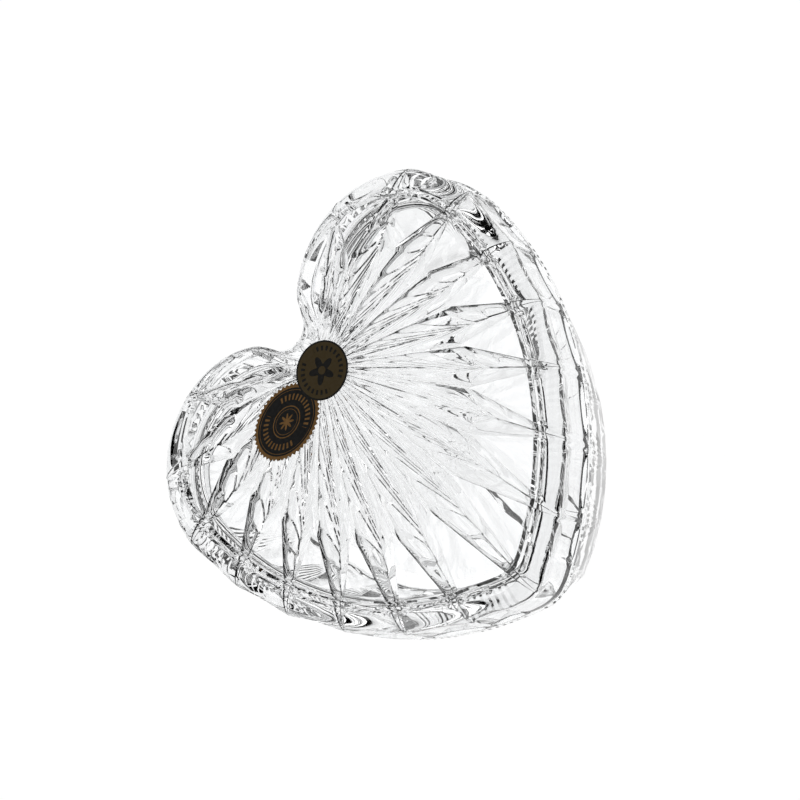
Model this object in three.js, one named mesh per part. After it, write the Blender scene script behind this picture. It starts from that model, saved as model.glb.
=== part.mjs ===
// Heart-shaped trinket box in clear cut crystal: a bowl, a lift-off lid and two foil labels.
// Millimetres, +Z up. The box stands on its foot at z = 0, the heart's tip points to -Y and
// its cleft to +Y. The origin is the middle of the footprint's bounding box.
import * as THREE from 'three';

// Plan outline of the heart, as tangent arcs. Each half has a blunt tip, a long side, a lobe,
// a tighter shoulder that turns into the cleft, and a hollow arc at the cleft itself.
const LOBE_X = 27.4;
const LOBE_Y = 25.7;
const LOBE_RADIUS = 27.7;
const SIDE_RADIUS = 85.2;
const TIP_RADIUS = 10;
const SHOULDER_RADIUS = 10;
const SHOULDER_START = degrees(130);
const CLEFT_RADIUS = 6.8;

// The flat field on the lid lies inside a rounded rim, which narrows towards the cleft.
const RIM_WIDTH = 8.2;
const CLEFT_RIM_WIDTH = 3;
const RIM_NARROWS_FROM = degrees(20);
const RIM_NARROW_AT = degrees(66);

// Heights.
const TOTAL_HEIGHT = 45;
const LID_HEIGHT = 12.9;
const LID_PLATE = 8.5;
const SEAM_GAP = 0.1;

// Lid rim, side flutes and sunburst.
const SEGMENTS_PER_HALF = 10;
const RIM_ROUND_SHARE = 0.58;
const RIM_ROUND_DROP = 2.7;
const RIM_STEPS = [0, 0.08, 0.25, 0.5, 1];
const FLUTE_DEPTH = 1;
const TIP_LAND_SHARE = 0.42;
const SUN_Y = 26.8;
const RAY_SPREAD = [0.676, 0.108, 0.216];
const WINDOW_APEX_LIMIT = 42;
const WINDOW_APEX_SHARE = 0.7;
const GROOVE_SLOPE = 0.5;
const NOTCH_HALF_WIDTH = 1.2;
const CORNER_HALF_WIDTH = 0.3;
const GIRDLE_HEIGHT = 0.9;
const GIRDLE_INSET = 0.05;

// Shares of a segment, from one ray to the next, at which the lid has points between grooves.
const SHARES = [0.18, 0.34, 0.5, 0.66, 0.82];
const FIRST_SHARES = [0.12, 0.24, 0.36, 0.55, 0.75];
const LAST_SHARES = [0.25, 0.45, 0.64, 0.76, 0.88];

// Seat and the locating ring that drops into the bowl's mouth.
const EDGE_CHAMFER = 0.3;
const RING_OUTER_INSET = 3.9;
const RING_INNER_INSET = 7.1;
const RING_DROP = 3;

// The bowl's inside from its floor up to its mouth, as insets from the outline and heights.
const BOWL_INSIDE = [[16.5, 8], [13.8, 8.9], [12.4, 11.2], [4.8, 26.2], [3.4, 27.8], [3.4, 32]];

// The bowl's outside: fans of narrow grooves, which end above the foot.
const FAN_CUTS = 7;
const FAN_HALF_WIDTH = 0.49;
const FAN_TOP_DROP = 1.7;
const FAN_TOP_INSET = 0.4;
const FAN_CUT_DEPTH = 0.8;
const FAN_FOOT_SHARE = 0.08;
const FAN_FOOT_HEIGHT = 5;
const FAN_FOOT_INSET = 8.6;
const FOOT_KNEE_HEIGHT = 2.5;
const FOOT_KNEE_INSET = 9.6;
const FOOT_OUTER_INSET = 11.4;
const FOOT_INNER_INSET = 17;
const FOOT_RECESS = 1.2;
const STAR_SLOPE = 0.35;

// Foil labels on the lid.
const LABEL_THICKNESS = 0.12;
const LABEL_GAP = 0.05;
const ROUND_LABEL = { x: -0.2, y: 25.7, radius: 7.3, teeth: 0, tooth: 0 };
const OVAL_LABEL = { x: -15.4, y: 24.6, radiusX: 10.2, radiusY: 7.8, teeth: 48, tooth: 0.28 };

const LID_BOTTOM = TOTAL_HEIGHT - LID_HEIGHT;
const BOWL_TOP = LID_BOTTOM - SEAM_GAP;
const GIRDLE_TOP = LID_BOTTOM + GIRDLE_HEIGHT;
const CEILING = TOTAL_HEIGHT - LID_PLATE;
const SEGMENTS = 2 * SEGMENTS_PER_HALF;
const OFFSET_LIMIT = 7.5;
const CENTROID_Y = 8;
const MEAN_RADIUS = 48;

function degrees(value) {
  return value * Math.PI / 180;
}

function lerp(a, b, t) {
  return a + (b - a) * t;
}

// The arcs of one half of a heart, from the tip round to the cleft.
function heartArcs(inset, shoulderRadius, cleftRadius) {
  const sideX = LOBE_X + LOBE_RADIUS - SIDE_RADIUS;
  const tipY = LOBE_Y - Math.sqrt((SIDE_RADIUS - TIP_RADIUS) ** 2 - sideX ** 2);
  const tipEnd = Math.atan2(tipY - LOBE_Y, -sideX);
  const back = LOBE_RADIUS - shoulderRadius;
  const shoulderX = LOBE_X + back * Math.cos(SHOULDER_START);
  const shoulderY = LOBE_Y + back * Math.sin(SHOULDER_START);
  const reach = shoulderRadius + cleftRadius;
  const cleftY = shoulderY + Math.sqrt(reach ** 2 - shoulderX ** 2);
  const shoulderEnd = Math.atan2(cleftY - shoulderY, -shoulderX);
  return [
    { x: 0, y: tipY, r: TIP_RADIUS - inset, from: degrees(-90), to: tipEnd },
    { x: sideX, y: LOBE_Y, r: SIDE_RADIUS - inset, from: tipEnd, to: 0 },
    { x: LOBE_X, y: LOBE_Y, r: LOBE_RADIUS - inset, from: 0, to: SHOULDER_START },
    { x: shoulderX, y: shoulderY, r: shoulderRadius - inset, from: SHOULDER_START, to: shoulderEnd },
    { x: 0, y: cleftY, r: cleftRadius + inset, from: shoulderEnd - Math.PI, to: degrees(-90) },
  ];
}

// Points along the half outline. "along" is the arc's number plus the share of the arc passed.
function halfPath(arcs, stepsPerArc) {
  const path = [];
  arcs.forEach((arc, number) => {
    const steps = stepsPerArc[number];
    for (let i = 0; i < steps; i += 1) {
      const share = i / steps;
      const angle = lerp(arc.from, arc.to, share);
      path.push({
        x: arc.x + arc.r * Math.cos(angle),
        y: arc.y + arc.r * Math.sin(angle),
        along: number + share,
      });
    }
  });
  const last = arcs[arcs.length - 1];
  path.push({ x: 0, y: last.y - last.r, along: arcs.length });
  return path;
}

const ARC_COUNT = 5;
const OUTER_ARCS = heartArcs(0, SHOULDER_RADIUS, CLEFT_RADIUS);
const OUTER_PATH = halfPath(OUTER_ARCS, [30, 120, 120, 30, 30]);
OUTER_PATH.forEach(addPolar);

// Direction and distance from the middle of the sunburst.
function addPolar(point) {
  point.angle = Math.atan2(point.y - SUN_Y, Math.max(point.x, 0));
  point.distance = Math.hypot(point.x, point.y - SUN_Y);
}

function foldedToRight(direction) {
  return direction > Math.PI / 2 ? Math.PI - direction : direction;
}

// Distance from the sunburst's middle to the outline in a direction, and the place reached.
function outlineAt(direction) {
  const folded = foldedToRight(direction);
  let i = 1;
  while (i < OUTER_PATH.length - 1 && OUTER_PATH[i].angle < folded) {
    i += 1;
  }
  const before = OUTER_PATH[i - 1];
  const after = OUTER_PATH[i];
  const share = THREE.MathUtils.clamp((folded - before.angle) / (after.angle - before.angle), 0, 1);
  const along = lerp(before.along, after.along, share);
  return {
    distance: lerp(before.distance, after.distance, share),
    along: direction > Math.PI / 2 ? 2 * ARC_COUNT - along : along,
  };
}

// Distance from the sunburst's middle to the edge of the flat field.
function fieldReach(direction) {
  const folded = foldedToRight(direction);
  const narrowed = THREE.MathUtils.smoothstep(folded, RIM_NARROWS_FROM, RIM_NARROW_AT);
  return outlineAt(direction).distance - lerp(RIM_WIDTH, CLEFT_RIM_WIDTH, narrowed);
}

// Directions of the sunburst's rays, from the tip to the cleft on the +X side and back to the tip
// on the -X side. They lie closer together towards the tip, where the field's edge is far away.
function rayDirections() {
  const half = [];
  for (let k = 0; k <= SEGMENTS_PER_HALF; k += 1) {
    const share = k / SEGMENTS_PER_HALF;
    const turned = RAY_SPREAD[0] * share + RAY_SPREAD[1] * share ** 2 + RAY_SPREAD[2] * share ** 3;
    half.push(degrees(-90 + 180 * turned));
  }
  const mirrored = half.slice(0, -1).reverse().map((direction) => Math.PI - direction);
  return [...half, ...mirrored];
}

const RAYS = rayDirections();

function place(direction, distance, z) {
  return [distance * Math.cos(direction), SUN_Y + distance * Math.sin(direction), z];
}

// How far the fluted side reaches at a share u of segment i. Next to the tip the flutes stop
// short, which leaves the tip smooth and round.
function fluteReach(i, u) {
  const outer = outlineAt(lerp(RAYS[i], RAYS[i + 1], u)).distance;
  const start = i === 0 ? TIP_LAND_SHARE : 0;
  const end = i === SEGMENTS - 1 ? 1 - TIP_LAND_SHARE : 1;
  const share = THREE.MathUtils.clamp((u - start) / (end - start), 0, 1);
  return outer - FLUTE_DEPTH * 4 * share * (1 - share);
}

// A closed surface under construction: shared points and the triangles between them.
class Shell {
  constructor() {
    this.points = [];
    this.triangles = [];
  }

  add(point) {
    this.points.push(point);
    return this.points.length - 1;
  }

  loop(entries) {
    return {
      ids: entries.map((entry) => this.add(entry.at)),
      along: entries.map((entry) => entry.along),
    };
  }

  triangle(a, b, c) {
    if (a !== b && b !== c && c !== a) {
      this.triangles.push([a, b, c]);
    }
  }

  // Joins two loops point by point; the surface faces left of the way from first to second.
  band(first, second) {
    const count = first.ids.length;
    for (let i = 0; i < count; i += 1) {
      const next = (i + 1) % count;
      this.triangle(first.ids[i], first.ids[next], second.ids[next]);
      this.triangle(first.ids[i], second.ids[next], second.ids[i]);
    }
  }

  // Joins two loops with different numbers of points, in step with their places along the outline.
  zip(first, second) {
    const total = 2 * ARC_COUNT;
    const at = (loop, i) => (i < loop.along.length ? loop.along[i] : total);
    let i = 0;
    let j = 0;
    while (i < first.ids.length || j < second.ids.length) {
      const a = first.ids[i % first.ids.length];
      const b = second.ids[j % second.ids.length];
      const moveFirst = j >= second.ids.length
        || (i < first.ids.length && at(first, i + 1) <= at(second, j + 1));
      if (moveFirst) {
        this.triangle(a, first.ids[(i + 1) % first.ids.length], b);
        i += 1;
      } else {
        this.triangle(a, second.ids[(j + 1) % second.ids.length], b);
        j += 1;
      }
    }
  }

  // Fills a flat loop.
  cap(loop, facingUp) {
    const flat = loop.ids.map((id) => new THREE.Vector2(this.points[id][0], this.points[id][1]));
    THREE.ShapeUtils.triangulateShape(flat, []).forEach(([a, b, c]) => {
      if (facingUp) {
        this.triangle(loop.ids[a], loop.ids[b], loop.ids[c]);
      } else {
        this.triangle(loop.ids[a], loop.ids[c], loop.ids[b]);
      }
    });
  }

  mesh(name, material) {
    const geometry = new THREE.BufferGeometry();
    geometry.setAttribute('position', new THREE.Float32BufferAttribute(this.points.flat(), 3));
    geometry.setIndex(this.triangles.flat());
    geometry.computeVertexNormals();
    const mesh = new THREE.Mesh(geometry, material);
    mesh.name = name;
    return mesh;
  }
}

// A smooth heart loop at a height. Past the offset limit the heart is shrunk as a whole instead.
function smoothLoop(inset, z) {
  const offset = Math.min(inset, OFFSET_LIMIT);
  const shrink = 1 - (inset - offset) / MEAN_RADIUS;
  const half = halfPath(heartArcs(offset, SHOULDER_RADIUS, CLEFT_RADIUS), [4, 18, 24, 5, 6]);
  const entries = [];
  half.forEach((point) => {
    entries.push({ at: [point.x * shrink, lerp(CENTROID_Y, point.y, shrink), z], along: point.along });
  });
  half.slice(1, -1).reverse().forEach((point) => {
    entries.push({
      at: [-point.x * shrink, lerp(CENTROID_Y, point.y, shrink), z],
      along: 2 * ARC_COUNT - point.along,
    });
  });
  return entries;
}

function segmentShares(i) {
  if (i === 0) {
    return FIRST_SHARES;
  }
  return i === SEGMENTS - 1 ? LAST_SHARES : SHARES;
}

// Height lost over the rounded rim. The share is 0 at the outline and 1 at the field's edge.
function rimDrop(share) {
  const left = Math.max(0, 1 - share / RIM_ROUND_SHARE);
  return RIM_ROUND_DROP * (1 - Math.sqrt(1 - left * left));
}

// One loop across the lid's rim: step 0 is the flutes' upper edge and 1 the end of the rounding.
function rimLoop(step) {
  const entries = [];
  for (let i = 0; i < SEGMENTS; i += 1) {
    const grooveShare = RIM_ROUND_SHARE * step;
    const halfWidth = lerp(CORNER_HALF_WIDTH, NOTCH_HALF_WIDTH, grooveShare);
    const span = RAYS[i + 1] - RAYS[i];
    entries.push(rimPoint(i, 0, step, GROOVE_SLOPE * halfWidth));
    const nearReach = rimPoint(i, 0, step, 0).reach;
    const farReach = rimPoint(i, 1, step, 0).reach;
    entries.push(rimPoint(i, halfWidth / nearReach / span, step, 0));
    segmentShares(i).forEach((u) => entries.push(rimPoint(i, u, step, 0)));
    entries.push(rimPoint(i, 1 - halfWidth / farReach / span, step, 0));
  }
  return entries;
}

function rimPoint(i, u, step, lowered) {
  const direction = lerp(RAYS[i], RAYS[i + 1], u);
  const outer = outlineAt(direction);
  const field = fieldReach(direction);
  const fluteShare = (outer.distance - fluteReach(i, u)) / (outer.distance - field);
  const share = lerp(fluteShare, RIM_ROUND_SHARE, step);
  const reach = lerp(outer.distance, field, share);
  const z = TOTAL_HEIGHT - rimDrop(share) - lowered;
  return { at: place(direction, reach, z), along: outer.along, reach };
}

// A flat field cut with tapering V-grooves that meet in the middle. "outward" is +1 when the
// field faces up and -1 when it faces down. Each segment of the field's edge is a corner, where
// a groove ends, followed by a row of points up to the next corner.
function sunburst(shell, middleY, z, outward, segments, slope, notchDepth) {
  const count = segments.length;
  const middle = shell.add([0, middleY, z]);
  const edge = { ids: [], along: [] };
  const put = (x, y, depth) => shell.add([x, y, z - outward * depth]);
  const face = (a, b, c) => (outward > 0 ? shell.triangle(a, b, c) : shell.triangle(a, c, b));
  const directions = segments.map(({ corner }) => Math.atan2(corner.y - middleY, corner.x));
  const turn = (i) => {
    const difference = directions[(i + 1) % count] - directions[i];
    return THREE.MathUtils.euclideanModulo(difference, 2 * Math.PI);
  };
  const apexReach = segments.map(({ row }) => {
    const centre = row[Math.floor(row.length / 2)];
    const reach = Math.hypot(centre.x, centre.y - middleY);
    return Math.min(WINDOW_APEX_LIMIT, WINDOW_APEX_SHARE * reach);
  });
  const grooves = [];
  const windows = [];
  segments.forEach(({ corner, row }, i) => {
    const before = (i + count - 1) % count;
    const deepest = (apexReach[before] + apexReach[i]) / 2;
    const depth = slope * deepest * Math.tan((turn(before) + turn(i)) / 4);
    const towards = directions[i];
    const notch = put(corner.x, corner.y, notchDepth);
    const bottom = put(deepest * Math.cos(towards), middleY + deepest * Math.sin(towards), depth);
    grooves.push({ notch, bottom });
    const between = towards + turn(i) / 2;
    const apexX = apexReach[i] * Math.cos(between);
    const apexY = middleY + apexReach[i] * Math.sin(between);
    const ids = row.map(({ x, y }) => put(x, y, 0));
    windows.push({ apex: put(apexX, apexY, 0), row: ids });
    edge.ids.push(notch, ...ids);
    edge.along.push(corner.along, ...row.map(({ along }) => along));
  });
  windows.forEach(({ apex, row }, i) => {
    const near = grooves[i];
    const far = grooves[(i + 1) % count];
    for (let j = 0; j < row.length - 1; j += 1) {
      face(row[j], row[j + 1], apex);
    }
    face(near.notch, row[0], apex);
    face(near.notch, apex, near.bottom);
    face(near.bottom, apex, middle);
    face(row[row.length - 1], far.notch, apex);
    face(far.notch, far.bottom, apex);
    face(far.bottom, middle, apex);
  });
  return edge;
}

// The edge of the lid's field, cut where each ray's groove is NOTCH_HALF_WIDTH wide to a side.
function fieldSegments() {
  const at = (direction) => {
    const [x, y] = place(direction, fieldReach(direction), 0);
    return { x, y, along: outlineAt(direction).along };
  };
  const segments = [];
  for (let i = 0; i < SEGMENTS; i += 1) {
    const span = RAYS[i + 1] - RAYS[i];
    const near = NOTCH_HALF_WIDTH / fieldReach(RAYS[i]) / span;
    const far = NOTCH_HALF_WIDTH / fieldReach(RAYS[i + 1]) / span;
    const shares = [near, ...segmentShares(i), 1 - far];
    segments.push({ corner: at(RAYS[i]), row: shares.map((u) => at(lerp(RAYS[i], RAYS[i + 1], u))) });
  }
  return segments;
}

// The same kind of segments on a smooth loop, for the star under the foot.
function footSegments(entries) {
  const points = entries.map(({ at, along }) => ({ x: at[0], y: at[1], along }));
  const segments = [];
  for (let i = 0; i < SEGMENTS; i += 1) {
    const from = Math.round(points.length * i / SEGMENTS);
    const to = Math.round(points.length * (i + 1) / SEGMENTS);
    segments.push({ corner: points[from], row: points.slice(from + 1, to) });
  }
  return segments;
}

function lid(material) {
  const shell = new Shell();
  const underside = [
    [RING_INNER_INSET, CEILING],
    [RING_INNER_INSET - EDGE_CHAMFER, LID_BOTTOM - RING_DROP],
    [RING_OUTER_INSET + 2 * EDGE_CHAMFER, LID_BOTTOM - RING_DROP],
    [RING_OUTER_INSET, LID_BOTTOM - RING_DROP + 2 * EDGE_CHAMFER],
    [RING_OUTER_INSET, LID_BOTTOM],
    [GIRDLE_INSET + EDGE_CHAMFER, LID_BOTTOM],
    [GIRDLE_INSET, LID_BOTTOM + EDGE_CHAMFER],
    [GIRDLE_INSET, GIRDLE_TOP],
  ].map(([inset, z]) => shell.loop(smoothLoop(inset, z)));
  shell.cap(underside[0], false);
  for (let i = 1; i < underside.length; i += 1) {
    shell.band(underside[i - 1], underside[i]);
  }
  const fluteFoot = rimLoop(0).map((entry) => ({
    at: [entry.at[0], entry.at[1], GIRDLE_TOP + EDGE_CHAMFER],
    along: entry.along,
  }));
  let previous = shell.loop(fluteFoot);
  shell.zip(underside[underside.length - 1], previous);
  RIM_STEPS.map(rimLoop).forEach((entries) => {
    const next = shell.loop(entries);
    shell.band(previous, next);
    previous = next;
  });
  const notchDepth = GROOVE_SLOPE * NOTCH_HALF_WIDTH;
  const edge = sunburst(shell, SUN_Y, TOTAL_HEIGHT, 1, fieldSegments(), GROOVE_SLOPE, notchDepth);
  shell.band(previous, edge);
  return shell.mesh('lid', material);
}

// The bowl's wall is cut with fans of narrow grooves. Each fan starts at a point low on the wall,
// below a corner of the lid, and spreads upwards to the middle of the segments on either side.
function fanLoop(spread, inset, cutDepth, z) {
  const entries = [];
  for (let i = 0; i < SEGMENTS; i += 1) {
    const shares = [];
    for (let j = 0; j <= FAN_CUTS; j += 1) {
      shares.push({ u: FAN_HALF_WIDTH * spread * j / FAN_CUTS, cut: j % 2 === 1 });
    }
    for (let j = FAN_CUTS; j > 0; j -= 1) {
      shares.push({ u: 1 - FAN_HALF_WIDTH * spread * j / FAN_CUTS, cut: j % 2 === 1 });
    }
    shares.forEach(({ u, cut }) => {
      const direction = lerp(RAYS[i], RAYS[i + 1], u);
      const outer = outlineAt(direction);
      const [x, y] = place(direction, outer.distance, 0);
      const depth = inset + (cut ? cutDepth : 0);
      const shrink = 1 - depth / MEAN_RADIUS;
      entries.push({ at: [x * shrink, lerp(CENTROID_Y, y, shrink), z], along: outer.along });
    });
  }
  return entries;
}

function bowl(material) {
  const shell = new Shell();
  const inside = BOWL_INSIDE.map(([inset, z]) => shell.loop(smoothLoop(inset, z)));
  shell.cap(inside[0], true);
  for (let i = 1; i < inside.length; i += 1) {
    shell.band(inside[i], inside[i - 1]);
  }
  const rim = [
    [GIRDLE_INSET + EDGE_CHAMFER, BOWL_TOP],
    [GIRDLE_INSET, BOWL_TOP - EDGE_CHAMFER],
    [GIRDLE_INSET, BOWL_TOP - FAN_TOP_DROP + EDGE_CHAMFER],
  ].map(([inset, z]) => shell.loop(smoothLoop(inset, z)));
  shell.band(rim[0], inside[inside.length - 1]);
  shell.band(rim[1], rim[0]);
  shell.band(rim[2], rim[1]);
  const wall = [
    fanLoop(1, FAN_TOP_INSET, FAN_CUT_DEPTH, BOWL_TOP - FAN_TOP_DROP),
    fanLoop(FAN_FOOT_SHARE, FAN_FOOT_INSET, FAN_FOOT_SHARE * FAN_CUT_DEPTH, FAN_FOOT_HEIGHT),
    fanLoop(FAN_FOOT_SHARE, FOOT_KNEE_INSET, 0, FOOT_KNEE_HEIGHT),
    fanLoop(FAN_FOOT_SHARE, FOOT_OUTER_INSET, 0, 0),
  ].map((entries) => shell.loop(entries));
  shell.zip(wall[0], rim[2]);
  for (let i = 1; i < wall.length; i += 1) {
    shell.band(wall[i], wall[i - 1]);
  }
  const foot = shell.loop(smoothLoop(FOOT_INNER_INSET, 0));
  shell.zip(foot, wall[wall.length - 1]);
  const starEdge = smoothLoop(FOOT_INNER_INSET + 2 * EDGE_CHAMFER, FOOT_RECESS);
  const star = footSegments(starEdge);
  shell.band(sunburst(shell, CENTROID_Y, FOOT_RECESS, -1, star, STAR_SLOPE, EDGE_CHAMFER), foot);
  return shell.mesh('bowl', material);
}

// A thin label: an ellipse whose edge may have small rounded teeth.
function label(name, shape, z, material) {
  const radiusX = shape.radiusX ?? shape.radius;
  const radiusY = shape.radiusY ?? shape.radius;
  const count = shape.teeth > 0 ? shape.teeth * 4 : 64;
  const outline = new THREE.Shape();
  for (let i = 0; i < count; i += 1) {
    const angle = 2 * Math.PI * i / count;
    const bulge = shape.tooth * Math.cos(shape.teeth * angle);
    const x = (radiusX + bulge) * Math.cos(angle);
    const y = (radiusY + bulge) * Math.sin(angle);
    if (i === 0) {
      outline.moveTo(x, y);
    } else {
      outline.lineTo(x, y);
    }
  }
  const geometry = new THREE.ExtrudeGeometry(outline, { depth: LABEL_THICKNESS, bevelEnabled: false });
  const mesh = new THREE.Mesh(geometry, material);
  mesh.name = name;
  mesh.position.set(shape.x, shape.y, z);
  return mesh;
}

function crystal() {
  return new THREE.MeshStandardMaterial({ color: 0xf3f6f5, roughness: 0.04, metalness: 0 });
}

const group = new THREE.Group();
group.name = 'heart_trinket_box';
group.add(bowl(crystal()));
group.add(lid(crystal()));
const black = new THREE.MeshStandardMaterial({ color: 0x0b0a08, roughness: 0.45, metalness: 0.2 });
const gold = new THREE.MeshStandardMaterial({ color: 0x7a6426, roughness: 0.4, metalness: 0.6 });
const ovalZ = TOTAL_HEIGHT + LABEL_GAP;
group.add(label('oval_label', OVAL_LABEL, ovalZ, black));
group.add(label('round_label', ROUND_LABEL, ovalZ + LABEL_THICKNESS + LABEL_GAP, gold));

export default group;
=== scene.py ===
"""Heart-shaped trinket box in clear cut crystal, dressed for its portrait: glass meshes for the
bowl and the lid with their fine cuts, two foil labels, a pale floor and a soft studio light.

Lengths that shape the crystal are in millimetres, as on the drawing, and become metres when a
mesh is made. The heart's tip points to -Y, its cleft to +Y, and the box stands on z = 0."""
import math

import bpy
from mathutils import Matrix, Vector


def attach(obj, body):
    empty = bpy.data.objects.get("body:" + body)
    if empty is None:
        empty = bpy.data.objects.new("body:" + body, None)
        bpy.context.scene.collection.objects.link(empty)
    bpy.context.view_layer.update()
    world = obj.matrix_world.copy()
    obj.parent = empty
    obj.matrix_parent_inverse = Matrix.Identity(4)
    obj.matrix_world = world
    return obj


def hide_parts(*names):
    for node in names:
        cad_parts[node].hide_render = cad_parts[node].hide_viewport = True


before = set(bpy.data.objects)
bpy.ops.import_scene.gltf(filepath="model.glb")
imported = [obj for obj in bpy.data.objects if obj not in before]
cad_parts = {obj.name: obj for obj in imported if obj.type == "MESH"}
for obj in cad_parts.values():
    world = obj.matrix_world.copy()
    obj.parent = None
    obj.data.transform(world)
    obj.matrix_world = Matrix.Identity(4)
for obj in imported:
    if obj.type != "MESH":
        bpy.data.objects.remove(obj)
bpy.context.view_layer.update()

MM = 0.001

# ---------------------------------------------------------------- camera
CAMERA_AZIMUTH = 24.25
CAMERA_ELEVATION = 57.23
CAMERA_ROLL = -72.13
CAMERA_TARGET = Vector((8.47, 3.96, 45.0)) * MM
CAMERA_DISTANCE = 0.5814
CAMERA_LENS = 112.5
CAMERA_SENSOR = 36
CAMERA_CLIP = (0.01, 50)

# ---------------------------------------------------------------- the studio, in metres
FLOOR_HALF = 4.0
FLOOR_GREY = 0.1
# The floor's glow, as light that has passed through the crystal sees it.
GLOW_DISTANCES = (0.1, 0.5)
GLOW_STRENGTHS = (1.0, 0.6)
# The surround as the crystal sees it, which is nearly black. Its grey is Blender's default and
# was left by oversight. The strengths are away from and towards the direction that faces the lid.
SURROUND_GREY = 0.05
SURROUND_DIRECTION = (0.222, -0.493, 0.841)
SURROUND_EDGES = (-0.1, 0.35)
SURROUND_STRENGTHS = (0.24, 0.07)
# The surround where the camera looks straight at it: light grey, just above the floor's edge.
BACKDROP_GREY = 0.8
BACKDROP_STRENGTH = 0.95
SOFTBOX_PLACE = Vector((-0.5, 0.6, 1.0))
SOFTBOX_SIZE = 0.7
SOFTBOX_ENERGY = 2.5
# How often light may pass from face to face inside the crystal.
BOUNCES = 32

# ---------------------------------------------------------------- the heart's outline
LOBE_X = 27.4
LOBE_Y = 25.7
LOBE_RADIUS = 27.7
SIDE_RADIUS = 85.2
TIP_RADIUS = 10.0
SHOULDER_RADIUS = 10.0
SHOULDER_START = math.radians(130)
CLEFT_RADIUS = 6.8
OFFSET_LIMIT = 7.5
CENTROID_Y = 8.0
MEAN_RADIUS = 48.0

# ---------------------------------------------------------------- the lid
TOTAL_HEIGHT = 45.0
LID_BOTTOM = 32.1
GIRDLE_HEIGHT = 0.9
GIRDLE_INSET = 0.05
CEILING = 36.5
SUN_Y = 26.8
RAY_SPREAD = (0.676, 0.108, 0.216)
SEGMENTS_PER_HALF = 10
SEGMENTS = 2 * SEGMENTS_PER_HALF
POINTS_PER_SEGMENT = 22
RIM_WIDTH = 8.2
CLEFT_RIM_WIDTH = 3.0
RIM_NARROWS = (math.radians(20), math.radians(66))
RIM_ROUND_SHARE = 0.58
RIM_ROUND_DROP = 2.7
RIM_LOOPS = 14
RIM_CROWDING = 1.5
SIDE_FOOT_GAP = 0.3
FLUTE_DEPTH = 1.0
TIP_LAND_SHARE = 0.42
GROOVE_SLOPE = 0.5
NOTCH_HALF_WIDTH = 1.7
CORNER_HALF_WIDTH = 0.35
CLEFT_NOTCH_SHARE = 0.3
WINDOW_APEX_LIMIT = 46.0
WINDOW_APEX_SHARE = 0.72
CLEFT_APEX_SHARE = 0.2

# Half of the lid's underside in section, from the ceiling out to the girdle: inset, height and
# the radius that the corner is rounded to.
LID_UNDERSIDE = (
    (12.0, CEILING, 0.0),
    (7.6, CEILING, 2.0),
    (6.2, 29.1, 1.1),
    (4.4, 29.1, 1.1),
    (3.9, LID_BOTTOM, 0.3),
    (GIRDLE_INSET, LID_BOTTOM, 0.35),
    (GIRDLE_INSET, LID_BOTTOM + GIRDLE_HEIGHT, 0.0),
)

# The steep lip between a window and the groove beside it, wider on the side that faces LIP_SIDE.
LIP_WIDTH = 0.2
WIDE_LIP = 1.1
LIP_STEEPNESS = 2.6
LIP_DEPTH_SHARE = 1.15
LIP_SIDE = (-0.96, 0.28)
LIP_FADE = 5.0
LIP_SHARE_LIMIT = 0.28
# The power by which the wide lip narrows on its way out to the field's edge.
LIP_TAPER = 1.3
# How much of the wide lip a side has that faces neither way, and how much facing changes that.
LIP_EVERYWHERE = 0.75
LIP_BY_SIDE = 0.5
# Places across a groove, from its valley (0) to its edge (1), at which the mesh has a column.
GROOVE_PLACES = (0.0, 0.07, 0.3, 0.5, 0.7)
# The lip's foot, as a place across a groove. In the field it moves with the lip's width.
LIP_FOOT = 0.93
VALLEY_NICK = 0.5
# What is left of a window's width on the ridge between its apex and the middle.
WINDOW_REMNANT = 0.015

# The chevrons that cross the grooves: steps whose distances from the middle grow by a ratio.
CHEVRON_RATIO = 1.3
# Within one chevron: how far along it a loop lies, and how much of the step's height is cut.
CHEVRON_PHASES = ((0.0, 0.0), (0.06, 1.0), (0.2, 0.85), (0.4, 0.6), (0.7, 0.25))
CHEVRON_HEIGHT = 0.022
CHEVRON_REACH = 30.0
# How many chevrons further out a chevron's point lies than its ends.
CHEVRON_POINT = 3.6
# The powers by which that lead, and then a step's height, fade from the valley to the edge.
CHEVRON_BEND = 1.5
CHEVRON_EDGE = 4
# Over how many chevrons the points grow from the field's edge, and fade to the middle.
CHEVRON_GROWS = 7.0
CHEVRON_FADES = 4.5
OUTER_CHEVRONS = 2
INNER_CHEVRONS = 10

# The two fine lines round the field: share of the rim's width, half width and depth.
CONTOUR_LINES = ((0.91, 0.6, 1.1), (0.7, 0.3, 0.6))
# Their bottoms are flat over the middle fifth. The steps, in half widths, are the mesh's loops.
CONTOUR_STEEPNESS = 1.25
CONTOUR_STEPS = (-1.0, -0.2, 0.2, 1.0)

# Edges that turn by more degrees than this are sharp: everywhere, and within the lid's field.
SHARP = 28.0
SHARP_IN_FIELD = 60.0
# Into how many steps a rounded corner is cut, and how often a place on the outline is halved.
ROUNDING_STEPS = 8
HALVINGS = 40

# ---------------------------------------------------------------- the crystal
CRYSTAL_IOR = 1.545
CRYSTAL_TINTS = ((0.955, 0.962, 0.965), (0.995, 0.997, 1.0))
# Noise is given as scale and detail, and a bump as strength and distance in metres.
STREAK_NOISE = (45.0, 2.0)
WAVE_NOISE = (130.0, 1.0)
WAVE_BUMP = (0.25, 0.0004)

# ---------------------------------------------------------------- the labels
OVAL_CENTRE = (-15.4, 24.6)
OVAL_RADII = (10.2, 7.8)
ROUND_CENTRE = (-0.2, 25.7)
ROUND_RADII = (7.3, 7.3)
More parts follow.
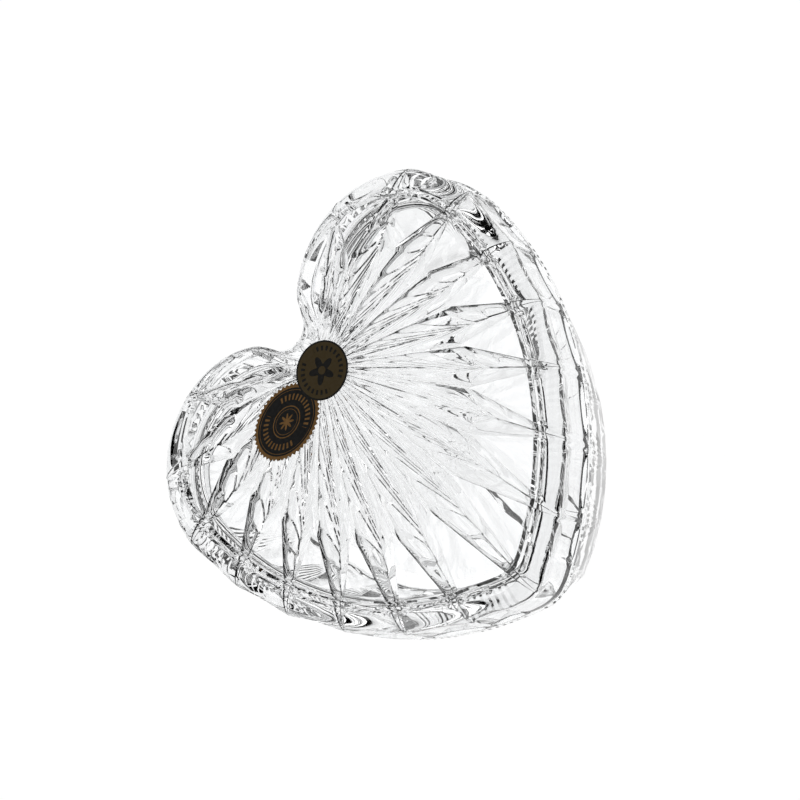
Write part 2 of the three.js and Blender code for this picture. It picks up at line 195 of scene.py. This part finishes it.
# The printed figures, by distance from the label's centre: 1 is its edge.
OVAL_BORDER = 0.9
OVAL_LINES = ((0.835, 0.85), (0.4, 0.43), (0.33, 0.345))
OVAL_TICKS = (34, 0.58, 0.74)
OVAL_STAR = (8, 0.16, 0.07)
ROUND_BORDER = 0.94
ROUND_TICKS = (26, 0.66, 0.82)
ROUND_FLOWER = (5, 0.36, 0.14)
ROUND_EYE = 0.14
TICK_GAP = 0.15
TICK_ARC = 0.34
BLACK_FOIL = (0.004, 0.0035, 0.003)
GOLD_PRINT = (0.36, 0.19, 0.06)
OLIVE_FOIL = (0.21, 0.135, 0.03)
DARK_PRINT = (0.01, 0.008, 0.004)
# How metallic each label's print is.
OVAL_METAL = 0.4
ROUND_METAL = 0.0
FOIL_NOISE = (1800.0, 3.0)
FOIL_ROUGHNESS = (0.3, 0.35)
FOIL_SPECULAR = 0.25
FOIL_GRAIN_HEIGHT = 0.4
FOIL_BUMP = (0.4, 0.00004)

# ---------------------------------------------------------------- the bowl
BOWL_TOP = 32.0
# The inside in section, from the floor's edge up to the mouth and over the rim to the girdle.
BOWL_INSIDE = (
    (19.0, 8.0, 0.0),
    (13.4, 8.0, 3.0),
    (4.8, 26.2, 3.0),
    (3.4, 27.8, 1.0),
    (3.4, BOWL_TOP, 0.4),
    (GIRDLE_INSET, BOWL_TOP, 0.35),
    (GIRDLE_INSET, BOWL_TOP - 1.4, 0.0),
)
FAN_CUTS = 8
FAN_TOP_DROP = 1.7
FAN_TOP_INSET = 0.4
FAN_CUT_DEPTH = 0.4
FAN_FOOT_HEIGHT = 5.0
FAN_FOOT_INSET = 8.6
FAN_FOOT_SHARE = 0.08
FOOT_OUTER_INSET = 11.4
FOOT_INNER_INSET = 17.0
FOOT_RECESS = 1.2
# The foot's chamfer as width and height, and the bend of the wall above it as inset and height.
FOOT_CHAMFER = (0.5, 0.4)
FOOT_KNEE = (9.6, 2.5)
RECESS_DRAFT = 0.6
STAR_SLOPE = 0.35
STAR_RAYS = 24
STAR_APEX_SHARE = 0.6


def lerp(a, b, t):
    return a + (b - a) * t


def clamp(value, low=0.0, high=1.0):
    return max(low, min(high, value))


def smoothstep(value, low, high):
    t = clamp((value - low) / (high - low))
    return t * t * (3 - 2 * t)


# ---------------------------------------------------------------- outline
def heart_arcs():
    """The arcs of the +X half from the tip to the cleft: centre x, centre y, radius, angles."""
    side_x = LOBE_X + LOBE_RADIUS - SIDE_RADIUS
    tip_y = LOBE_Y - math.sqrt((SIDE_RADIUS - TIP_RADIUS) ** 2 - side_x ** 2)
    tip_end = math.atan2(tip_y - LOBE_Y, -side_x)
    back = LOBE_RADIUS - SHOULDER_RADIUS
    shoulder_x = LOBE_X + back * math.cos(SHOULDER_START)
    shoulder_y = LOBE_Y + back * math.sin(SHOULDER_START)
    reach = SHOULDER_RADIUS + CLEFT_RADIUS
    cleft_y = shoulder_y + math.sqrt(reach ** 2 - shoulder_x ** 2)
    shoulder_end = math.atan2(cleft_y - shoulder_y, -shoulder_x)
    down = -math.pi / 2
    return (
        (0.0, tip_y, TIP_RADIUS, down, tip_end),
        (side_x, LOBE_Y, SIDE_RADIUS, tip_end, 0.0),
        (LOBE_X, LOBE_Y, LOBE_RADIUS, 0.0, SHOULDER_START),
        (shoulder_x, shoulder_y, SHOULDER_RADIUS, SHOULDER_START, shoulder_end),
        (0.0, cleft_y, CLEFT_RADIUS, shoulder_end - math.pi, down),
    )


ARCS = heart_arcs()


def outline_point(along, inset=0.0):
    """The point at a place along the +X half, moved inwards by inset."""
    number = min(int(along), len(ARCS) - 1)
    x, y, radius, start, end = ARCS[number]
    angle = lerp(start, end, along - number)
    hollow = number == len(ARCS) - 1
    reach = radius + inset if hollow else radius - inset
    return x + reach * math.cos(angle), y + reach * math.sin(angle)


def polar(point):
    x, y = point
    return math.atan2(y - SUN_Y, max(x, 0.0)), math.hypot(x, y - SUN_Y)


def along_in_direction(direction):
    """Finds by halving the place along the +X half that lies in a direction from the sun."""
    low, high = 0.0, float(len(ARCS))
    for _ in range(HALVINGS):
        middle = (low + high) / 2
        if polar(outline_point(middle))[0] < direction:
            low = middle
        else:
            high = middle
    return (low + high) / 2


class Ray:
    """One direction from the middle of the sunburst, and where it meets the outline."""

    def __init__(self, direction):
        self.direction = direction
        self.mirrored = direction > math.pi / 2
        folded = math.pi - direction if self.mirrored else direction
        self.along = along_in_direction(folded)
        self.outer = polar(outline_point(self.along))[1]
        narrowed = smoothstep(folded, *RIM_NARROWS)
        self.field = self.outer - lerp(RIM_WIDTH, CLEFT_RIM_WIDTH, narrowed)
        self.notch_share = lerp(1.0, CLEFT_NOTCH_SHARE, narrowed)

    def place(self, distance, z):
        x = distance * math.cos(self.direction)
        return (x, SUN_Y + distance * math.sin(self.direction), z)

    def inset_point(self, inset, z):
        """The outline's point moved inwards. Past the offset limit the heart shrinks instead."""
        offset = min(inset, OFFSET_LIMIT)
        shrink = 1 - (inset - offset) / MEAN_RADIUS
        x, y = outline_point(self.along, offset)
        side = -1 if self.mirrored else 1
        return (side * x * shrink, lerp(CENTROID_Y, y, shrink), z)


def ray_directions():
    """Directions of the sunburst's grooves, from the tip round by +X to the cleft and back."""
    half = []
    for k in range(SEGMENTS_PER_HALF + 1):
        s = k / SEGMENTS_PER_HALF
        turned = RAY_SPREAD[0] * s + RAY_SPREAD[1] * s ** 2 + RAY_SPREAD[2] * s ** 3
        half.append(math.radians(-90 + 180 * turned))
    return half + [math.pi - direction for direction in reversed(half[:-1])]


DIRECTIONS = ray_directions()


# ---------------------------------------------------------------- mesh building
def rounded(profile):
    """A section's corners, each an (inset, height, radius), turned into a row of points."""
    points = []
    last = len(profile) - 1
    for i, (a, z, radius) in enumerate(profile):
        corner = Vector((a, z))
        if i in (0, last) or radius == 0:
            points.append((a, z))
            continue
        before = (Vector(profile[i - 1][:2]) - corner).normalized()
        after = (Vector(profile[i + 1][:2]) - corner).normalized()
        half_angle = before.angle(after) / 2
        reach = radius / math.tan(half_angle)
        centre = corner + (before + after).normalized() * (radius / math.sin(half_angle))
        start = corner + before * reach - centre
        turn = start.angle_signed(corner + after * reach - centre)
        for k in range(ROUNDING_STEPS + 1):
            angle = -turn * k / ROUNDING_STEPS
            c, s = math.cos(angle), math.sin(angle)
            points.append((centre.x + start.x * c - start.y * s,
                           centre.y + start.x * s + start.y * c))
    return points


class Shell:
    """A surface under construction, in millimetres."""

    def __init__(self):
        self.points = []
        self.faces = []
        # The first point of the lid's field, whose edges are smoothed more.
        self.soft_from = None

    def add(self, point):
        self.points.append(point)
        return len(self.points) - 1

    def loop(self, points):
        return [self.add(point) for point in points]

    def face(self, *ids):
        self.faces.append(ids)

    def band(self, first, second):
        count = len(first)
        for i in range(count):
            j = (i + 1) % count
            self.face(first[i], first[j], second[j], second[i])

    def bands(self, loops):
        for first, second in zip(loops, loops[1:]):
            self.band(first, second)

    def build(self, name, material):
        mesh = bpy.data.meshes.new(name)
        mesh.from_pydata([Vector(p) * MM for p in self.points], [], self.faces)
        mesh.validate()
        mesh.update()
        mesh.shade_smooth()
        mesh.set_sharp_from_angle(angle=math.radians(SHARP))
        if self.soft_from is not None:
            crisp = [flag.value for flag in mesh.attributes["sharp_edge"].data]
            mesh.set_sharp_from_angle(angle=math.radians(SHARP_IN_FIELD))
            flags = mesh.attributes["sharp_edge"].data
            for edge, flag, was in zip(mesh.edges, flags, crisp):
                if min(edge.vertices) < self.soft_from:
                    flag.value = was
        mesh.materials.append(material)
        piece = bpy.data.objects.new(name, mesh)
        bpy.context.scene.collection.objects.link(piece)
        return piece


# ---------------------------------------------------------------- lid
def flute_depth(i, u):
    """How far the hollow flute of segment i cuts in. The land next to the tip stays plain."""
    start = TIP_LAND_SHARE if i == 0 else 0.0
    end = 1 - TIP_LAND_SHARE if i == SEGMENTS - 1 else 1.0
    share = clamp((u - start) / (end - start))
    return FLUTE_DEPTH * 4 * share * (1 - share)


def rim_drop(share):
    """How far the rounded rim lies below the top at a share of its width."""
    left = clamp(1 - share / RIM_ROUND_SHARE)
    return RIM_ROUND_DROP * (1 - math.sqrt(1 - left * left))


def groove_half_width(share):
    """Half the groove's width where it crosses the rim. Share is 0 at the outline, 1 inside."""
    return lerp(CORNER_HALF_WIDTH, NOTCH_HALF_WIDTH, share)


class Column:
    """One column of the lid's mesh: across a groove (place 0 valley to 1 edge) or over land."""

    def __init__(self, segment, side, place, u):
        self.segment = segment
        self.side = side
        self.place = place
        self.u = u
        self.corner = CORNER_RAYS[segment + (1 if side < 0 else 0)]

    def land_ray(self, half_width):
        here, there = DIRECTIONS[self.segment], DIRECTIONS[self.segment + 1]
        before, after = CORNER_RAYS[self.segment], CORNER_RAYS[self.segment + 1]
        near = half_width * before.notch_share / before.field
        far = half_width * after.notch_share / after.field
        return Ray(lerp(here + near, there - far, self.u))

    def ray(self, half_width):
        """The column's ray, for grooves of a half width given in millimetres at the field."""
        if self.side:
            width = half_width * self.corner.notch_share
            turn = self.side * self.place * width / self.corner.field
            return Ray(self.corner.direction + turn)
        return self.land_ray(half_width)


def lid_columns():
    columns = []
    for i in range(SEGMENTS):
        columns += [Column(i, 1, place, 0.0) for place in GROOVE_PLACES]
        columns.append(Column(i, 1, LIP_FOOT, 0.0))
        count = POINTS_PER_SEGMENT + 1
        columns += [Column(i, 0, 1.0, k / count) for k in range(count + 1)]
        columns.append(Column(i, -1, LIP_FOOT, 1.0))
        columns += [Column(i, -1, place, 1.0) for place in reversed(GROOVE_PLACES[1:])]
    return columns


CORNER_RAYS = [Ray(direction) for direction in DIRECTIONS]
COLUMNS = lid_columns()


def contour_drop(share, width):
    """How deep the fine contour lines cut at a share of the rim's width."""
    drop = 0.0
    for place, half, depth in CONTOUR_LINES:
        nearness = 1 - abs(share - place) * width / half
        drop = max(drop, depth * clamp(CONTOUR_STEEPNESS * nearness))
    return drop


def rim_loop(step):
    """A loop across the rim: step 0 is the flutes' upper edge and 1 the edge of the field."""
    points = []
    half_width = groove_half_width(step)
    for column in COLUMNS:
        ray = column.ray(half_width)
        width = ray.outer - ray.field
        flute = flute_depth(column.segment, column.u) if column.side == 0 else 0.0
        share = lerp(flute / width, 1.0, step)
        notch = half_width * column.corner.notch_share
        lowered = groove_drop(column.place, notch, LIP_WIDTH) if column.side else 0.0
        z = TOTAL_HEIGHT - rim_drop(share) - lowered - contour_drop(share, width)
        points.append(ray.place(ray.outer - width * share, z))
    return points


def groove_drop(place, half_width, lip):
    """The depth at a place across a groove: a nick in the valley, a slope, and a steep lip."""
    depth = GROOVE_SLOPE * half_width
    lip_drop = min(LIP_STEEPNESS * lip, LIP_DEPTH_SHARE * depth)
    if place == 0.0:
        return depth + VALLEY_NICK * clamp(half_width)
    if place >= 1.0:
        return 0.0
    if place == LIP_FOOT:
        return lip_drop
    return lerp(depth, lip_drop, place / LIP_FOOT)


def mixed(first, second, share):
    return [lerp(a, b, share) for a, b in zip(first, second)]


def lip_width(column, share):
    """The lip's width at a share of the way from a window's apex out to the field's edge."""
    direction = column.corner.direction
    turned = math.cos(direction) * -LIP_SIDE[1] + math.sin(direction) * LIP_SIDE[0]
    facing = column.side * turned
    swell = (1 - clamp(share)) ** LIP_TAPER * CHEVRON_RATIO ** (LIP_FADE * min(share, 0.0))
    return LIP_WIDTH + WIDE_LIP * clamp(LIP_EVERYWHERE + LIP_BY_SIDE * facing) * swell


def window_apexes():
    """Distance from the middle at which each window starts."""
    apexes = []
    for i in range(SEGMENTS):
        ray = Ray((DIRECTIONS[i] + DIRECTIONS[i + 1]) / 2)
        share = WINDOW_APEX_SHARE * lerp(CLEFT_APEX_SHARE, 1.0, ray.notch_share)
        apexes.append(min(WINDOW_APEX_LIMIT, share * ray.field))
    return apexes


def field_point(column, apexes, reach):
    """A point of the field. Reach is 1 at the field's edge, 0 round the windows' apexes, and
    below 0 it counts chevrons on the way to the middle."""
    i = column.segment
    middle = (0.0, SUN_Y)
    centre = Ray((DIRECTIONS[i] + DIRECTIONS[i + 1]) / 2)
    apex = centre.place(apexes[i], 0.0)[:2]
    inwards = CHEVRON_RATIO ** min(reach, 0.0)
    share = max(reach, WINDOW_REMNANT)
    beside = (i + (1 if column.side < 0 else -1)) % SEGMENTS
    half_width_in = ridge_half_width(apexes, i, beside)
    rim_ray = column.land_ray(NOTCH_HALF_WIDTH)
    land = mixed(apex, rim_ray.place(rim_ray.field, 0.0)[:2], share)
    if column.side == 0:
        x, y = mixed(middle, land, inwards)
        return (x, y, TOTAL_HEIGHT)
    corner = column.corner
    bottom = corner.place((apexes[i] + apexes[beside]) / 2, 0.0)[:2]
    valley = mixed(bottom, corner.place(corner.field, 0.0)[:2], clamp(reach))
    notch = NOTCH_HALF_WIDTH * corner.notch_share
    half_width = lerp(half_width_in, notch, clamp(reach)) * inwards
    lip = min(lip_width(column, reach), LIP_SHARE_LIMIT * half_width)
    place = column.place
    across = 1 - lip / half_width
    if place != LIP_FOOT:
        across = place * (across / LIP_FOOT)
    x, y = mixed(middle, mixed(valley, land, across), inwards)
    return (x, y, TOTAL_HEIGHT - groove_drop(place, half_width, lip))


def ridge_half_width(apexes, i, beside):
    """Half a groove's width where two neighbouring windows start."""
    reach = (apexes[i] + apexes[beside]) / 2
    here = DIRECTIONS[i + 1] - DIRECTIONS[i]
    there = DIRECTIONS[beside + 1] - DIRECTIONS[beside]
    return reach * math.tan((here + there) / 4)


def cut_field(shell, edge):
    """The flat windows and their tapering grooves, crossed by chevrons, inside the rim."""
    apexes = window_apexes()
    total = OUTER_CHEVRONS + INNER_CHEVRONS
    steps = [(k, phase, drop) for k in range(total) for phase, drop in CHEVRON_PHASES]
    loops = [edge]
    shell.soft_from = min(edge)
    for k, phase, drop in steps[1:]:
        travelled = k + phase
        points = []
        for column in COLUMNS:
            point = 0.0
            if column.side:
                point = CHEVRON_POINT * (1 - column.place) ** CHEVRON_BEND
            grown = smoothstep(travelled, 0, CHEVRON_GROWS)
            point *= grown * smoothstep(total - travelled, 0, CHEVRON_FADES)
            here = travelled - point
            if here < OUTER_CHEVRONS:
                reach = 1 - here / OUTER_CHEVRONS
            else:
                reach = OUTER_CHEVRONS - here
            x, y, z = field_point(column, apexes, reach)
            if column.side:
                away = math.hypot(x, y - SUN_Y)
                height = CHEVRON_HEIGHT * min(away, CHEVRON_REACH)
                z -= height * drop * (1 - column.place ** CHEVRON_EDGE)
            points.append((x, y, z))
        loops.append(shell.loop(points))
    shell.bands(loops)
    shell.face(*loops[-1])


def rim_steps():
    """Steps across the rim: even ones that crowd at the outline, and the contour lines' own."""
    steps = [(k / RIM_LOOPS) ** RIM_CROWDING for k in range(1, RIM_LOOPS + 1)]
    for place, half, _ in CONTOUR_LINES:
        steps += [place + half * k / RIM_WIDTH for k in CONTOUR_STEPS]
    return sorted(step for step in steps if step < 1.0) + [1.0]


def build_lid(material):
    shell = Shell()
    rays = [column.ray(CORNER_HALF_WIDTH) for column in COLUMNS]
    under = [shell.loop([ray.inset_point(inset, z) for ray in rays])
             for inset, z in rounded(LID_UNDERSIDE)]
    shell.face(*reversed(under[0]))
    shell.bands(under)
    upper = rim_loop(0.0)
    foot_z = LID_BOTTOM + GIRDLE_HEIGHT + SIDE_FOOT_GAP
    loops = [under[-1], shell.loop([(x, y, foot_z) for x, y, _ in upper]), shell.loop(upper)]
    for step in rim_steps():
        loops.append(shell.loop(rim_loop(step)))
    shell.bands(loops)
    cut_field(shell, loops[-1])
    return shell.build("crystal_lid", material)


# ---------------------------------------------------------------- bowl
def fan_columns():
    """Shares round each segment at which the fans have a ridge (False) or a valley (True)."""
    columns = []
    for i in range(SEGMENTS):
        for j in range(FAN_CUTS + 1):
            columns.append((i, 0.5 * j / FAN_CUTS, j % 2 == 1, 0))
        for j in range(FAN_CUTS - 1, 0, -1):
            columns.append((i, 0.5 * j / FAN_CUTS, j % 2 == 1, 1))
    return columns


def fan_loop(spread, inset, cut_depth, z):
    """A loop round the wall, whose fans open by spread and whose cuts go in by cut_depth."""
    points = []
    for i, u, cut, side in FAN_COLUMNS:
        share = 1 - u * spread if side else u * spread
        if u == 0.5:
            share = 0.5
        ray = Ray(lerp(DIRECTIONS[i], DIRECTIONS[i + 1], share))
        depth = inset + (cut_depth if cut else 0.0)
        shrink = 1 - depth / MEAN_RADIUS
        x, y, _ = ray.place(ray.outer, z)
        points.append((x * shrink, lerp(CENTROID_Y, y, shrink), z))
    return points


FAN_COLUMNS = fan_columns()


def star(shell, rim, z, rays):
    """The star under the foot: grooves cut upwards that meet in the middle."""
    middle = shell.add((0.0, CENTROID_Y, z))
    share = STAR_APEX_SHARE
    count = len(rim)
    marks = [round(count * k / rays) for k in range(rays + 1)]
    apexes, bottoms = [], []
    for k in range(rays):
        mark = marks[k]
        half = rim[(marks[k] + marks[k + 1]) // 2 % count]
        x, y, _ = shell.points[half]
        apexes.append(shell.add((x * share, lerp(CENTROID_Y, y, share), z)))
        x, y, _ = shell.points[rim[mark % count]]
        width = math.pi / rays * share * math.hypot(x, y - CENTROID_Y)
        cut = z + STAR_SLOPE * width
        bottoms.append(shell.add((x * share, lerp(CENTROID_Y, y, share), cut)))
    for k in range(rays):
        row = [rim[m % count] for m in range(marks[k], marks[k + 1] + 1)]
        apex, bottom, following = apexes[k], bottoms[k], bottoms[(k + 1) % rays]
        shell.face(*reversed(row), apex)
        shell.face(row[0], bottom, apex)
        shell.face(bottom, middle, apex)
        shell.face(apex, following, row[-1])
        shell.face(apex, middle, following)


def build_bowl(material):
    shell = Shell()
    rays = [Ray(lerp(DIRECTIONS[i], DIRECTIONS[i + 1], 1 - u if side else u))
            for i, u, _, side in FAN_COLUMNS]
    inside = [shell.loop([ray.inset_point(inset, z) for ray in rays])
              for inset, z in rounded(BOWL_INSIDE)]
    shell.face(*inside[0])
    shell.bands(inside[::-1])
    levels = (
        (1.0, FAN_TOP_INSET, FAN_CUT_DEPTH, BOWL_TOP - FAN_TOP_DROP),
        (FAN_FOOT_SHARE, FAN_FOOT_INSET, FAN_FOOT_SHARE * FAN_CUT_DEPTH, FAN_FOOT_HEIGHT),
        (FAN_FOOT_SHARE, FOOT_KNEE[0], 0.0, FOOT_KNEE[1]),
        (FAN_FOOT_SHARE, FOOT_OUTER_INSET - FOOT_CHAMFER[0], 0.0, FOOT_CHAMFER[1]),
        (FAN_FOOT_SHARE, FOOT_OUTER_INSET, 0.0, 0.0),
    )
    wall = [shell.loop(fan_loop(*level)) for level in levels]
    foot = shell.loop([ray.inset_point(FOOT_INNER_INSET, 0.0) for ray in rays])
    recess_inset = FOOT_INNER_INSET + RECESS_DRAFT
    recess = shell.loop([ray.inset_point(recess_inset, FOOT_RECESS) for ray in rays])
    shell.bands([recess, foot, *wall[::-1], inside[-1]])
    star(shell, recess, FOOT_RECESS, STAR_RAYS)
    return shell.build("crystal_bowl", material)


# ---------------------------------------------------------------- materials
def new_material(name):
    material = bpy.data.materials.new(name)
    material.use_nodes = True
    return material, material.node_tree.nodes["Principled BSDF"]


class Nodes:
    """Short ways to write the node arithmetic of a material or the world."""

    def __init__(self, owner):
        self.tree = owner.node_tree
        self.shader = self.tree.nodes.get("Principled BSDF")

    def add(self, kind, **inputs):
        node = self.tree.nodes.new("ShaderNode" + kind)
        for name, value in inputs.items():
            self.set(node.inputs[name], value)
        return node

    def set(self, socket, value):
        if isinstance(value, bpy.types.NodeSocket):
            self.tree.links.new(value, socket)
        else:
            socket.default_value = value

    def math(self, operation, *values):
        node = self.tree.nodes.new("ShaderNodeMath")
        node.operation = operation
        for socket, value in zip(node.inputs, values):
            self.set(socket, value)
        return node.outputs[0]

    def ramp(self, value, edges, results):
        node = self.add("MapRange", **{"Value": value, "From Min": edges[0],
                                       "From Max": edges[1], "To Min": results[0],
                                       "To Max": results[1]})
        return node.outputs["Result"]

    def both(self, first, second):
        return self.math("MULTIPLY", first, second)

    def either(self, *masks):
        result = masks[0]
        for mask in masks[1:]:
            result = self.math("MAXIMUM", result, mask)
        return result

    def between(self, value, low, high):
        above = self.math("GREATER_THAN", value, low)
        return self.both(above, self.math("LESS_THAN", value, high))

    def blend(self, share, first, second):
        """A mix of two colours, whose sockets on the node are 6, 7 and output 2."""
        node = self.tree.nodes.new("ShaderNodeMix")
        node.data_type = "RGBA"
        self.set(node.inputs[0], share)
        self.set(node.inputs[6], (*first, 1.0))
        self.set(node.inputs[7], (*second, 1.0))
        return node.outputs[2]

    def noise(self, scale, detail):
        where = self.add("TexCoord").outputs["Object"]
        return self.add("TexNoise", Vector=where, Scale=scale, Detail=detail).outputs[0]

    def bump(self, height, strength, distance):
        node = self.add("Bump", Height=height, Strength=strength, Distance=distance)
        self.set(self.shader.inputs["Normal"], node.outputs[0])


def crystal():
    """Clear lead crystal: a breath of grey in streaks, and the slight waves of a pressed face."""
    material, shader = new_material("lead_crystal")
    nodes = Nodes(material)
    tint = nodes.blend(nodes.noise(*STREAK_NOISE), *CRYSTAL_TINTS)
    nodes.set(shader.inputs["Base Color"], tint)
    shader.inputs["Roughness"].default_value = 0.0
    shader.inputs["IOR"].default_value = CRYSTAL_IOR
    shader.inputs["Transmission Weight"].default_value = 1.0
    nodes.bump(nodes.noise(*WAVE_NOISE), *WAVE_BUMP)
    return material


def label_polar(nodes, centre, radii):
    """Distance from a label's centre, 1 at its edge, and the angle round it."""
    where = nodes.add("SeparateXYZ", Vector=nodes.add("TexCoord").outputs["Object"])
    x = nodes.math("DIVIDE", nodes.math("SUBTRACT", where.outputs[0], centre[0] * MM),
                   radii[0] * MM)
    y = nodes.math("DIVIDE", nodes.math("SUBTRACT", where.outputs[1], centre[1] * MM),
                   radii[1] * MM)
    squares = nodes.math("ADD", nodes.both(x, x), nodes.both(y, y))
    return nodes.math("SQRT", squares), nodes.math("ARCTAN2", y, x)


def petals(nodes, distance, angle, count, size, depth):
    """The inside of a star with rounded points."""
    wave = nodes.math("COSINE", nodes.math("MULTIPLY", angle, float(count)))
    edge = nodes.math("MULTIPLY_ADD", wave, depth, size)
    return nodes.math("LESS_THAN", distance, edge)


def ticks(nodes, distance, angle, count, low, high):
    """Two arcs of short strokes."""
    wave = nodes.math("SINE", nodes.math("MULTIPLY", angle, float(count)))
    strokes = nodes.math("GREATER_THAN", wave, TICK_GAP)
    sideways = nodes.math("ABSOLUTE", nodes.math("COSINE", angle))
    arcs = nodes.math("GREATER_THAN", sideways, TICK_ARC)
    return nodes.both(nodes.both(strokes, arcs), nodes.between(distance, low, high))


def foil(material, print_mask, plain, printed, metal):
    """Stamped foil: two colours, a fine grain, and the print a little shinier."""
    nodes = Nodes(material)
    shader = nodes.shader
    nodes.set(shader.inputs["Base Color"], nodes.blend(print_mask, plain, printed))
    nodes.set(shader.inputs["Metallic"], nodes.both(print_mask, metal))
    grain = nodes.noise(*FOIL_NOISE)
    roughness = nodes.math("MULTIPLY_ADD", grain, *FOIL_ROUGHNESS)
    nodes.set(shader.inputs["Roughness"], roughness)
    shader.inputs["Specular IOR Level"].default_value = FOIL_SPECULAR
    grain_height = nodes.math("MULTIPLY", grain, FOIL_GRAIN_HEIGHT)
    nodes.bump(nodes.math("ADD", print_mask, grain_height), *FOIL_BUMP)


def oval_foil():
    material, _ = new_material("oval_label_foil")
    nodes = Nodes(material)
    distance, angle = label_polar(nodes, OVAL_CENTRE, OVAL_RADII)
    gold = nodes.either(
        nodes.math("GREATER_THAN", distance, OVAL_BORDER),
        *(nodes.between(distance, low, high) for low, high in OVAL_LINES),
        ticks(nodes, distance, angle, *OVAL_TICKS),
        petals(nodes, distance, angle, *OVAL_STAR),
    )
    foil(material, gold, BLACK_FOIL, GOLD_PRINT, OVAL_METAL)
    return material


def round_foil():
    material, _ = new_material("round_label_foil")
    nodes = Nodes(material)
    distance, angle = label_polar(nodes, ROUND_CENTRE, ROUND_RADII)
    dark = nodes.either(
        nodes.math("GREATER_THAN", distance, ROUND_BORDER),
        ticks(nodes, distance, angle, *ROUND_TICKS),
        nodes.both(petals(nodes, distance, angle, *ROUND_FLOWER),
                   nodes.math("GREATER_THAN", distance, ROUND_EYE)),
    )
    foil(material, dark, OLIVE_FOIL, DARK_PRINT, ROUND_METAL)
    return material


# ---------------------------------------------------------------- camera, floor and light
def place_camera():
    data = bpy.data.cameras.new("camera")
    data.lens = CAMERA_LENS
    data.sensor_width = CAMERA_SENSOR
    data.clip_start, data.clip_end = CAMERA_CLIP
    camera = bpy.data.objects.new("camera", data)
    bpy.context.scene.collection.objects.link(camera)
    bpy.context.scene.camera = camera
    azimuth, elevation = math.radians(CAMERA_AZIMUTH), math.radians(CAMERA_ELEVATION)
    back = Vector((math.sin(azimuth) * math.cos(elevation),
                   -math.cos(azimuth) * math.cos(elevation), math.sin(elevation)))
    level = Vector((math.cos(azimuth), math.sin(azimuth), 0.0))
    right = Matrix.Rotation(math.radians(CAMERA_ROLL), 3, back) @ level
    up = back.cross(right)
    turn = Matrix((right, up, back)).transposed().to_4x4()
    camera.matrix_world = Matrix.Translation(CAMERA_TARGET + back * CAMERA_DISTANCE) @ turn


def place_floor():
    mesh = bpy.data.meshes.new("floor")
    s = FLOOR_HALF
    mesh.from_pydata([(-s, -s, 0), (s, -s, 0), (s, s, 0), (-s, s, 0)], [], [(0, 1, 2, 3)])
    floor = bpy.data.objects.new("floor", mesh)
    bpy.context.scene.collection.objects.link(floor)
    material, shader = new_material("floor")
    shader.inputs["Base Color"].default_value = (FLOOR_GREY,) * 3 + (1,)
    shader.inputs["Roughness"].default_value = 1.0
    shader.inputs["Emission Color"].default_value = (1, 1, 1, 1)
    nodes = Nodes(material)
    where = nodes.add("TexCoord").outputs["Object"]
    away = nodes.add("VectorMath")
    away.operation = "LENGTH"
    nodes.set(away.inputs[0], where)
    fall = nodes.ramp(away.outputs["Value"], GLOW_DISTANCES, GLOW_STRENGTHS)
    seen = nodes.add("LightPath").outputs["Is Camera Ray"]
    nodes.set(shader.inputs["Emission Strength"], nodes.math("MAXIMUM", fall, seen))
    mesh.materials.append(material)


def place_lights():
    world = bpy.data.worlds.new("studio")
    bpy.context.scene.world = world
    world.use_nodes = True
    nodes = Nodes(world)
    background = nodes.tree.nodes["Background"]
    towards = nodes.add("VectorMath")
    towards.operation = "DOT_PRODUCT"
    nodes.set(towards.inputs[0], nodes.add("TexCoord").outputs["Generated"])
    nodes.set(towards.inputs[1], SURROUND_DIRECTION)
    strength = nodes.ramp(towards.outputs["Value"], SURROUND_EDGES, SURROUND_STRENGTHS)
    nodes.set(background.inputs["Color"], (SURROUND_GREY,) * 3 + (1,))
    nodes.set(background.inputs["Strength"], strength)
    backdrop = nodes.add("Background", Color=(BACKDROP_GREY,) * 3 + (1,),
                         Strength=BACKDROP_STRENGTH)
    mix = nodes.add("MixShader")
    nodes.set(mix.inputs[0], nodes.add("LightPath").outputs["Is Camera Ray"])
    nodes.set(mix.inputs[1], background.outputs[0])
    nodes.set(mix.inputs[2], backdrop.outputs[0])
    nodes.set(nodes.tree.nodes["World Output"].inputs["Surface"], mix.outputs[0])
    data = bpy.data.lights.new("softbox", "AREA")
    data.size = SOFTBOX_SIZE
    data.energy = SOFTBOX_ENERGY
    light = bpy.data.objects.new("softbox", data)
    bpy.context.scene.collection.objects.link(light)
    light.location = SOFTBOX_PLACE
    light.rotation_mode = "QUATERNION"
    light.rotation_quaternion = (-SOFTBOX_PLACE).to_track_quat("-Z", "Y")


# ---------------------------------------------------------------- the scene
place_camera()
glass = crystal()
lid = build_lid(glass)
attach(lid, "lid")
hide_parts("lid")
bowl = build_bowl(glass)
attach(bowl, "base")
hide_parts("bowl")
for node, label_foil in (("oval_label", oval_foil()), ("round_label", round_foil())):
    label_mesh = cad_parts[node].data
    label_mesh.materials.clear()
    label_mesh.materials.append(label_foil)
place_floor()
place_lights()
bpy.context.scene.view_settings.view_transform = "Standard"
bpy.context.scene.cycles.max_bounces = BOUNCES
bpy.context.scene.cycles.transmission_bounces = BOUNCES
